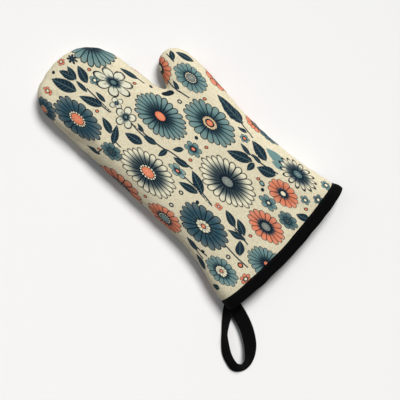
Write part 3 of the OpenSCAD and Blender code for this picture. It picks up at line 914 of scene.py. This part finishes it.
def cloth_material(flower, leaf):
    material, n, shader = new_material("printed_cotton")
    plan = n.attribute("plan")["Vector"]
    height, slow = weave(n, plan, 0.55)
    stretched = n.add("ShaderNodeMapping", {"Vector": plan, "Scale": (1.0, 0.15, 1.0)}).outputs[0]
    threads = n.noise(stretched, 1.6, 3.0, 0.7)
    fleck = n.noise(plan, 1.1, 4.0, 0.75)
    speck = n.noise(plan, 0.55, 2.0, 0.6)
    under = n.mix(n.fade(threads, 0.35, 0.62), rgb(206, 195, 162), SAND)
    under = n.mix(n.math("MULTIPLY", n.fade(fleck, 0.46, 0.62), 0.7), under, rgb(186, 172, 136))
    under = n.mix(n.math("MULTIPLY", n.fade(speck, 0.42, 0.58), 0.3), under, rgb(250, 244, 220))
    under = n.mix(n.math("MULTIPLY", n.fade(slow, 0.35, 0.7), 0.16), under, rgb(240, 232, 208))
    for prefix in ("stem", "leaf"):
        under = n.add("ShaderNodeGroup", {
            "Under": under, "At": n.attribute(prefix + "_at")["Vector"],
            "Ink": n.attribute(prefix + "_ink")["Color"],
            "Kind": n.attribute(prefix + "_kind")["Fac"]}, node_tree=leaf).outputs[0]
    for prefix in ("f1", "f2", "f3"):
        given = {"Under": under, "At": n.attribute(prefix + "_at")["Vector"],
                 "Facts": n.attribute(prefix + "_facts")["Vector"],
                 "Point": n.attribute(prefix + "_point")["Fac"]}
        for part in ("petal", "heart", "ring"):
            given[part.title()] = n.attribute(f"{prefix}_{part}")["Color"]
        under = n.add("ShaderNodeGroup", given, node_tree=flower).outputs[0]
    worn = n.math("MULTIPLY", n.fade(fleck, 0.58, 0.74), 0.08)
    colour = n.mix(worn, under, rgb(214, 204, 178))
    # painted shade: the weave's low places between threads are darkened towards INK
    painted_weave_shade = n.mix(n.math("MULTIPLY", n.math("SUBTRACT", 1.0, height), 0.22), colour, INK)
    n.tree.links.new(painted_weave_shade, shader.inputs["Base Color"])
    n.tree.links.new(n.math("MULTIPLY_ADD", fleck, 0.2, 0.76), shader.inputs["Roughness"])
    shader.inputs["Specular IOR Level"].default_value = 0.15
    shader.inputs["Sheen Weight"].default_value = 0.04
    shader.inputs["Sheen Roughness"].default_value = 0.5
    relief = n.math("ADD", height, n.math("MULTIPLY", fleck, 0.8))
    bump = n.add("ShaderNodeBump", {"Height": relief, "Strength": 0.45, "Distance": 0.00035})
    n.tree.links.new(bump.outputs[0], shader.inputs["Normal"])
    return material


def woven_material(name, base, light, pitch, coordinate, rough=0.8, lift=0.3, sheen=0.1):
    """A plain woven cloth or tape whose threads follow a stored coordinate, in mm, with painted highlight on
    its raised threads.
    """
    material, n, shader = new_material(name)
    place = n.attribute(coordinate)["Vector"]
    height, slow = weave(n, place, pitch)
    fleck = n.noise(place, 1.3, 3.0, 0.7)
    # painted highlight: the weave's raised threads are mixed towards the lighter colour; the flecks after it
    # are random tone
    colour = n.mix(n.math("MULTIPLY", height, lift), base, light)
    colour = n.mix(n.math("MULTIPLY", n.fade(fleck, 0.5, 0.75), lift), colour, light)
    colour = n.mix(n.math("MULTIPLY", n.fade(slow, 0.4, 0.7), 0.3), colour, base)
    n.tree.links.new(colour, shader.inputs["Base Color"])
    n.tree.links.new(n.math("MULTIPLY_ADD", fleck, 0.25, rough - 0.12), shader.inputs["Roughness"])
    shader.inputs["Specular IOR Level"].default_value = 0.06
    shader.inputs["Sheen Weight"].default_value = sheen
    shader.inputs["Sheen Roughness"].default_value = 0.5
    bump = n.add("ShaderNodeBump", {"Height": height, "Strength": 0.5, "Distance": 0.0004})
    n.tree.links.new(bump.outputs[0], shader.inputs["Normal"])
    return material


flower_tree, leaf_tree = flower_group(), leaf_group()
PRINTED = cloth_material(flower_tree, leaf_tree)
LINING_CLOTH = woven_material("lining_cotton", rgb(196, 190, 176), rgb(226, 220, 206), 0.6, "plan")
FLEECE = woven_material("wadding_fleece", rgb(222, 220, 212), rgb(240, 238, 232), 2.4, "plan", 0.95)
BLACK_TAPE = woven_material("black_tape", rgb(3, 3, 4), rgb(13, 12, 12), 0.7, "along", 0.82,
                            0.35, 0.0)
BLACK_THREAD = woven_material("black_thread", rgb(7, 7, 7), rgb(26, 25, 24), 0.35, "along", 0.6,
                              0.5)
SAND_THREAD = woven_material("sand_thread", rgb(176, 164, 134), rgb(224, 214, 188), 0.35, "along",
                             0.65, 0.6)


# ------------------------------------------------------------------ the layers
quilt = np.abs(np.sin((CUT["plan"][:, 0] + CUT["plan"][:, 1]) * math.pi / 32)
               * np.sin((CUT["plan"][:, 0] - CUT["plan"][:, 1]) * math.pi / 32))
LINING_IN = 5.95 + 1.4 * np.sqrt(quilt) * smoothstep(13, 22, CUT["rim"][:, 2])
across = np.array([*(THUMB_SPLIT / np.linalg.norm(THUMB_SPLIT)), 0])
BEND_FROM = Vector((*split_at, SEAM_Z)) * MM
BEND_TO = BEND_FROM + Vector(across) * 20 * MM

for way, label in ((1, "back"), (-1, "palm")):
    for thumb in (False, True):
        chosen = (which_side == way) & (on_thumb == thumb)
        prefix = "thumb_" if thumb else ""
        piece = f"{prefix}{label}"
        outer = slab(f"{piece}_cloth", chosen, 0.0, CLOTH)
        print_cloth(outer, way, thumb)
        fill = slab(f"{piece}_fill", chosen, *WADDING)
        inner = slab(f"{piece}_inside", chosen, LINING[0], LINING_IN)
        for obj, node, material, slot in (
                (outer, f"{piece}_panel", PRINTED, "printed_cloth"),
                (fill, f"{piece}_wadding", FLEECE, "wadding"),
                (inner, f"{piece}_lining", LINING_CLOTH, "lining")):
            obj.data.materials.append(material)
            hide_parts(node)
            if thumb:
                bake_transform(obj, "mitt", "thumb", start=BEND_FROM, end=BEND_TO)
            else:
                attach(obj, "mitt")
        for obj, depth in ((outer, CLOTH / 2), (inner, sum(LINING) / 2)):
            flat, area = flat_cut(chosen, way, depth)


# ------------------------------------------------------------------ tubes and bands
def tube(points, radius, sides=6):
    """Vertices and faces of a round thread along points, with its along and around in mm."""
    points = np.asarray(points, float)
    along = unit(np.gradient(points, axis=0))
    up = np.array([0.0, 0.0, 1.0])
    verts, faces, at = [], [], []
    run = np.concatenate([[0], np.cumsum(np.linalg.norm(np.diff(points, axis=0), axis=1))])
    for i, (p, t) in enumerate(zip(points, along)):
        a = up - t * np.dot(up, t)
        a = unit(a) if np.linalg.norm(a) > 1e-3 else unit(np.cross(t, [1.0, 0, 0]))
        b = np.cross(t, a)
        ends = 0.55 if i in (0, len(points) - 1) else 1.0
        for k in range(sides):
            turn = 2 * math.pi * k / sides
            verts.append(p + (a * math.cos(turn) + b * math.sin(turn)) * radius * ends)
            at.append((turn * radius, run[i], 0))
    for i in range(len(points) - 1):
        for k in range(sides):
            j = (k + 1) % sides
            faces.append([i * sides + k, i * sides + j, (i + 1) * sides + j, (i + 1) * sides + k])
    faces.append(list(range(sides))[::-1])
    faces.append([(len(points) - 1) * sides + k for k in range(sides)])
    return verts, faces, at


def thread_object(name, paths, radius, material, sides=6):
    verts, faces, at = [], [], []
    for path in paths:
        v, f, a = tube(path, radius, sides)
        faces += [[i + len(verts) for i in face] for face in f]
        verts += v
        at += a
    obj = make_object(name, verts, faces)
    put_attribute(obj.data, "along", "FLOAT_VECTOR", "POINT", at)
    obj.data.materials.append(material)
    return obj


SKIN = BVHTree.FromPolygons([Vector(p) for p in CUT["co"]], FACES)


def skin_hit(origin, direction):
    hit = SKIN.ray_cast(Vector(origin), Vector(direction))
    if hit[0] is None:
        near = SKIN.find_nearest(Vector(origin) + Vector(direction) * 20)
        return np.array(near[0]), np.array(near[1])
    return np.array(hit[0]), np.array(hit[1])


# ------------------------------------------------------------------ the cuff's binding
OUTLINE, INWARD = outline_rays()
LEFT_IN, RIGHT_IN = (OUTLINE + INWARD * EDGE_W)[[0, -1]]


def mouth_stations():
    """Round the mouth: (x of the ray's origin, the ray's turn up from the outward side)."""
    stations = [(LEFT_IN[0], 180 - t) for t in (0, 14, 28, 42, 56, 70, 84)]
    stations += [(x, 90) for x in np.linspace(LEFT_IN[0], RIGHT_IN[0], 46)]
    stations += [(RIGHT_IN[0], t) for t in (84, 70, 56, 42, 28, 14, 0, -14, -28, -42, -56, -70, -84)]
    stations += [(x, -90) for x in np.linspace(RIGHT_IN[0], LEFT_IN[0], 46)]
    stations += [(LEFT_IN[0], 180 - t) for t in (-84, -70, -56, -42, -28, -14)]
    return stations


def mouth_point(x, turn, above):
    """The hem's surface point at a station, some way above the cuff's edge, and its normal."""
    t = math.radians(turn)
    slope = 2 * 9.5 * (x - 10) / 98 ** 2
    level = max(above, 0.4)
    origin = np.array([x, cuff_y(x) + level, SEAM_Z])
    flat = unit(np.array([1.0, slope]))
    direction = np.array([*(flat * math.cos(t)), math.sin(t)])
    place, _ = skin_hit(origin, direction)
    normal = unit(np.array([direction[0] / EDGE_W ** 1.2, direction[1] / EDGE_W ** 1.2,
                            direction[2] / PALM_H ** 1.2]))
    if abs(turn) == 90:
        normal = np.array([0, 0, math.copysign(1, turn)])
    shift = above - level
    return place + np.array([0, shift, 0]), normal


# the band's section: (above the cuff's edge, outward from the hem's surface), all round
BAND = [(12.1, 0.05), (12.35, 0.5), (11.9, 0.95), (10.6, 1.12), (9.0, 1.1), (6.5, 1.16),
        (4.0, 1.2), (1.8, 1.1), (0.1, 0.7), (-0.9, -0.4), (-1.3, -2.2), (-1.1, -4.0),
        (-0.2, -6.0), (1.5, -6.9), (4.0, -7.05), (7.0, -7.0), (10.0, -7.05), (11.6, -6.95),
        (12.1, -6.5), (11.6, -6.1), (9.0, -6.05), (5.0, -6.05), (1.4, -6.0), (0.2, -4.6),
        (-0.1, -2.5), (0.2, -0.6), (1.4, 0.05), (5.0, 0.08), (9.0, 0.06)]


def binding():
    verts, faces, at = [], [], []
    stations = mouth_stations()
    n = len(BAND)
    run = 0.0
    before = None
    for i, (x, turn) in enumerate(stations):
        here = mouth_point(x, turn, 6)[0]
        run += 0 if before is None else float(np.linalg.norm(here - before))
        before = here
        wave = noise.noise(Vector((run / 22, 0.3, 0)))
        pleat = noise.noise(Vector((run / 7, 4.3, 0)))
        sag = noise.noise(Vector((run / 15, 8.1, 0)))
        step = 0.0
        for k, (above, out) in enumerate(BAND):
            top = smoothstep(6, 12, above)
            lift = above + wave * 0.7 * top + sag * 0.8 * (1 - top) * (turn == 90)
            p, normal = mouth_point(x, turn, lift)
            rise = out + pleat * 0.3 * (1 if out > -1 else 0.5)
            if x == RIGHT_IN[0] and out > -1:
                rise += 1.9 * math.exp(-((turn + 4) / 34) ** 2) * (1 - 0.8 * top)
            q = p + normal * rise
            q[2] = max(q[2], 0.05)
            verts.append(q)
            if k:
                step += math.hypot(above - BAND[k - 1][0], out - BAND[k - 1][1])
            at.append((run, step, 0))
    count = len(stations)
    for i in range(count):
        j = (i + 1) % count
        for k in range(n):
            m = (k + 1) % n
            faces.append([i * n + k, j * n + k, j * n + m, i * n + m])
    obj = make_object("cuff_band", verts, faces)
    put_attribute(obj.data, "along", "FLOAT_VECTOR", "POINT", at)
    bm = bmesh.new()
    bm.from_mesh(obj.data)
    bmesh.ops.recalc_face_normals(bm, faces=bm.faces)
    bm.to_mesh(obj.data)
    bm.free()
    add_subdivision(obj)
    section = np.array(BAND + BAND[:1])
    wide = float(np.sum(np.linalg.norm(np.diff(section, axis=0), axis=1))) / 2
    # run leaves out the step that closes the ring, so this length is 2.8 mm short
    return obj, (wide * MM, run * MM)


def add_subdivision(obj, levels=1):
    """Subdivides a mesh and keeps the result, with no modifier left."""
    finer = obj.modifiers.new("finer", "SUBSURF")
    finer.levels = finer.render_levels = levels
    shaped = obj.evaluated_get(bpy.context.evaluated_depsgraph_get())
    mesh = bpy.data.meshes.new_from_object(shaped)
    old = obj.data
    obj.modifiers.clear()
    obj.data = mesh
    bpy.data.meshes.remove(old)
    mesh.name = obj.name
    mesh.shade_smooth()


band, band_flat = binding()
band.data.materials.append(BLACK_TAPE)
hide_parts("cuff_binding")
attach(band, "mitt")

# ------------------------------------------------------------------ the binding's stitches
paths = []
line = []
for x, turn in mouth_stations():
    p, normal = mouth_point(x, turn, 10.4)
    q = p + normal * 1.18
    q[2] = max(q[2], 0.3)
    line.append(q)
line = even(np.array(line + line[:1]), 0.85)
for start in range(0, len(line) - 4, 4):
    stitch = line[start:start + 4].copy()
    stitch[0, 2] -= 0.25 * np.sign(stitch[0, 2] - SEAM_Z)
    stitch[-1, 2] -= 0.25 * np.sign(stitch[-1, 2] - SEAM_Z)
    paths.append(stitch)
band_stitches = thread_object("cuff_stitches", paths, 0.26, BLACK_THREAD)
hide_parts("binding_stitch")
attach(band_stitches, "mitt")

# ------------------------------------------------------------------ the seam's stitches
def seam_line():
    """The seam's own surface points in order, from the left cuff corner to the right."""
    on_seam = np.flatnonzero((np.abs(CUT["side"]) < 1e-4) & (CUT["rim"][:, 0] < 1e-3))
    order = on_seam[np.argsort(CUT["rim"][on_seam, 1])]
    return CUT["co"][order], CUT["base_normal"][order]


places, outs = seam_line()
run = np.concatenate([[0], np.cumsum(np.linalg.norm(np.diff(places, axis=0), axis=1))])
hand_paths, thumb_paths = [], []
for at in np.arange(16, run[-1] - 16, 3.2):
    p = np.array([np.interp(at, run, places[:, k]) for k in range(3)])
    out = unit(np.array([np.interp(at, run, outs[:, k]) for k in range(3)]))
    ahead = np.array([np.interp(at + 0.9, run, places[:, k]) for k in range(3)]) - p
    slant = unit(ahead) * 0.7
    stitch = [p + out * 0.12 + np.array([0, 0, s * 1.25]) + slant * s + out * (0.25 - 0.25 * s * s)
              for s in (-1.0, -0.4, 0.4, 1.0)]
    far = np.dot(p[:2] - split_at, THUMB_SPLIT) > 0 and p[0] > split_at[0]
    (thumb_paths if far else hand_paths).append(stitch)
hand_seam = thread_object("seam_stitches", hand_paths, 0.24, SAND_THREAD)
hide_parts("seam_thread")
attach(hand_seam, "mitt")
thumb_seam = thread_object("thumb_seam_stitches", thumb_paths, 0.24, SAND_THREAD)
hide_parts("thumb_seam_thread")
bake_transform(thumb_seam, "mitt", "thumb", start=BEND_FROM, end=BEND_TO)

# ------------------------------------------------------------------ the hanging loop
# Stations down the tape: its middle (x, y, z), the tilt of its face and its width. As with
# LEAVES, most x, y and tilt values follow another program's output and are to be replaced.
LOOP = [(-71.5, -138.5, 5.4, 4, 15.6), (-76, -146, 5.0, 4, 15.6), (-80.3, -154, 4.2, 8, 15.6),
        (-83.3, -165, 3.6, 18, 15.4), (-88.6, -178, 4.2, 25, 15.4),
        (-97.2, -190.8, 4.6, 29, 15.4), (-105.5, -198.6, 6.0, 42, 15.4),
        (-113.8, -203, 7.4, 57, 15.4), (-121.6, -202.2, 7.4, 57, 15.4),
        (-126.8, -196.6, 6.6, 49, 15.4), (-125.6, -188.4, 7.2, 53, 15.4),
        (-122, -180.2, 7.2, 54, 15.4), (-115.4, -172, 7.6, 62, 15.4),
        (-107.8, -164.4, 8.2, 71, 15.4), (-99.6, -158.4, 8.0, 64, 15.4),
        (-92.6, -154, 8.0, 56, 15.4), (-86, -150.6, 8.6, 45, 15.4),
        (-79, -147.6, 9.4, 36, 15.4)]
TAPE_T = 1.3


def tape():
    """The loop's tape: a flat strip swept along its stations, with a woven edge."""
    keys = [np.array(s, float) for s in LOOP]
    rows = even(spline(keys, 2.0), 1.6)
    section = [(-1.0, 0.0), (-0.985, 0.42), (-0.93, 0.62), (-0.86, 0.5), (-0.5, 0.5), (0.0, 0.5),
               (0.5, 0.5), (0.86, 0.5), (0.93, 0.62), (0.985, 0.42), (1.0, 0.0), (0.985, -0.42),
               (0.93, -0.62), (0.86, -0.5), (0.5, -0.5), (0.0, -0.5), (-0.5, -0.5), (-0.86, -0.5),
               (-0.93, -0.62), (-0.985, -0.42)]
    verts, faces, at = [], [], []
    along = unit(np.gradient(rows[:, :3], axis=0))
    run = 0.0
    n = len(section)
    for i, row in enumerate(rows):
        t = along[i]
        out = unit(np.array([t[1], -t[0], 0]))
        up = np.array([0, 0, 1.0])
        tilt = math.radians(row[3])
        wide = out * math.cos(tilt) + up * math.sin(tilt)
        thick = np.cross(wide, t)
        if i:
            run += float(np.linalg.norm(rows[i, :3] - rows[i - 1, :3]))
        dent = 0.35 * noise.noise(Vector((run / 9, 0, 2.2)))
        for u, v in section:
            cup = (0.35 * (u * u - 0.4) + dent * (1 - u * u))
            p = row[:3] - wide * u * row[4] / 2 + thick * (v * TAPE_T + cup)
            p[2] = max(p[2], 0.06 + 0.2 * (v + 0.6))
            verts.append(p)
            at.append((run, u * row[4] / 2 + v, 0))
    for i in range(len(rows) - 1):
        for k in range(n):
            m = (k + 1) % n
            faces.append([i * n + k, i * n + m, (i + 1) * n + m, (i + 1) * n + k])
    faces.append(list(range(n))[::-1])
    faces.append([(len(rows) - 1) * n + k for k in range(n)])
    obj = make_object("loop_tape", verts, faces)
    put_attribute(obj.data, "along", "FLOAT_VECTOR", "POINT", at)
    bm = bmesh.new()
    bm.from_mesh(obj.data)
    bmesh.ops.recalc_face_normals(bm, faces=bm.faces)
    bm.to_mesh(obj.data)
    bm.free()
    return obj, (float(rows[:, 4].mean()) * MM, run * MM)


CORNER = np.array([-88, -150.2, 3.0])
AWAY = np.array([-0.65606, -0.75471, 0])
loop_tape, tape_flat = tape()
loop_tape.data.materials.append(BLACK_TAPE)
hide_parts("hanging_loop", "loop_tails")
fold = CORNER + AWAY * 4
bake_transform(loop_tape, "mitt", "loop", start=Vector(fold - AWAY * 2.5) * MM,
         end=Vector(fold + AWAY * 8) * MM)

# ------------------------------------------------------------------ the bar tack
low, high = node_box("bar_tack")
tack_paths = []
SIDE_ON = np.array([0.75471, -0.65606, 0])
middle_of_tack = (low + high) / 2
half = 8.0
for k in range(17):
    u = -half + k * 1.0
    base = middle_of_tack + SIDE_ON * u
    ends = [base - AWAY * 0.9, base - AWAY * 0.4 + [0, 0, 0.28], base + AWAY * 0.4 + [0, 0, 0.28],
            base + AWAY * 0.9]
    tack_paths.append(ends)
tack = thread_object("loop_tack", tack_paths, 0.3, BLACK_THREAD)
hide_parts("bar_tack")
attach(tack, "mitt")

bpy.data.meshes.remove(SURFACE)


# ------------------------------------------------------------------ floor, light and camera
def floor_with_painted_light():
    bpy.ops.mesh.primitive_plane_add(size=16, location=(-0.02, -0.05, 0))
    floor = bpy.context.object
    floor.name = "floor"
    material, n, shader = new_material("pale_floor")
    where = n.add("ShaderNodeTexCoord").outputs["Object"]
    x, y, _ = n.part(where)
    # painted light: the floor is darker towards the key light (+X) and paler away from it, evening out the
    # lamp's falloff
    painted_falloff_ramp = n.math("MULTIPLY_ADD", y, 0.28, x)
    painted_falloff_ramp = n.add("ShaderNodeMapRange", {"Value": painted_falloff_ramp, "From Min": -0.33, "From Max": 0.3}).outputs[0]
    soft = n.noise(where, 3.0, 2.0)
    colour = n.mix(painted_falloff_ramp, rgb(246, 245, 245), rgb(219, 219, 219))
    colour = n.mix(n.math("MULTIPLY", soft, 0.1), colour, rgb(228, 227, 228))
    n.tree.links.new(colour, shader.inputs["Base Color"])
    shader.inputs["Roughness"].default_value = 0.7
    shader.inputs["Specular IOR Level"].default_value = 0.1
    floor.data.materials.append(material)


def area_light(name, place, aim, size, energy, colour=(1, 1, 1)):
    light = bpy.data.lights.new(name, "AREA")
    light.shape, light.size, light.energy, light.color = "DISK", size, energy, colour
    obj = bpy.data.objects.new(name, light)
    bpy.context.collection.objects.link(obj)
    obj.location = place
    obj.rotation_euler = (Vector(aim) - Vector(place)).to_track_quat("-Z", "Y").to_euler()


floor_with_painted_light()
AIM = (-0.0204, -0.0506, 0.014)
area_light("key", (2.24, 0.6, 3.3), AIM, 1.6, 196, (1, 0.99, 0.972))
area_light("fill", (-0.1, 0.9, 1.9), AIM, 1.2, 3.6, (0.97, 0.985, 1))
world = bpy.data.worlds.new("studio")
bpy.context.scene.world = world
world.use_nodes = True
world.node_tree.nodes["Background"].inputs[0].default_value = (0.95, 0.97, 1.0, 1)
world.node_tree.nodes["Background"].inputs[1].default_value = 0.13
bpy.context.scene.view_settings.view_transform = "Standard"

camera = bpy.data.cameras.new("camera")
camera.lens, camera.sensor_width, camera.clip_end = 85, 36, 20
camera_object = bpy.data.objects.new("camera", camera)
bpy.context.collection.objects.link(camera_object)
right, up = Vector((0.669, -0.743, 0)).normalized(), Vector((0.743, 0.669, 0)).normalized()
turn = Matrix((right, up, right.cross(up))).transposed()
camera_object.matrix_world = Matrix.Translation((AIM[0], AIM[1], 1.006)) @ turn.to_4x4()
bpy.context.scene.camera = camera_object
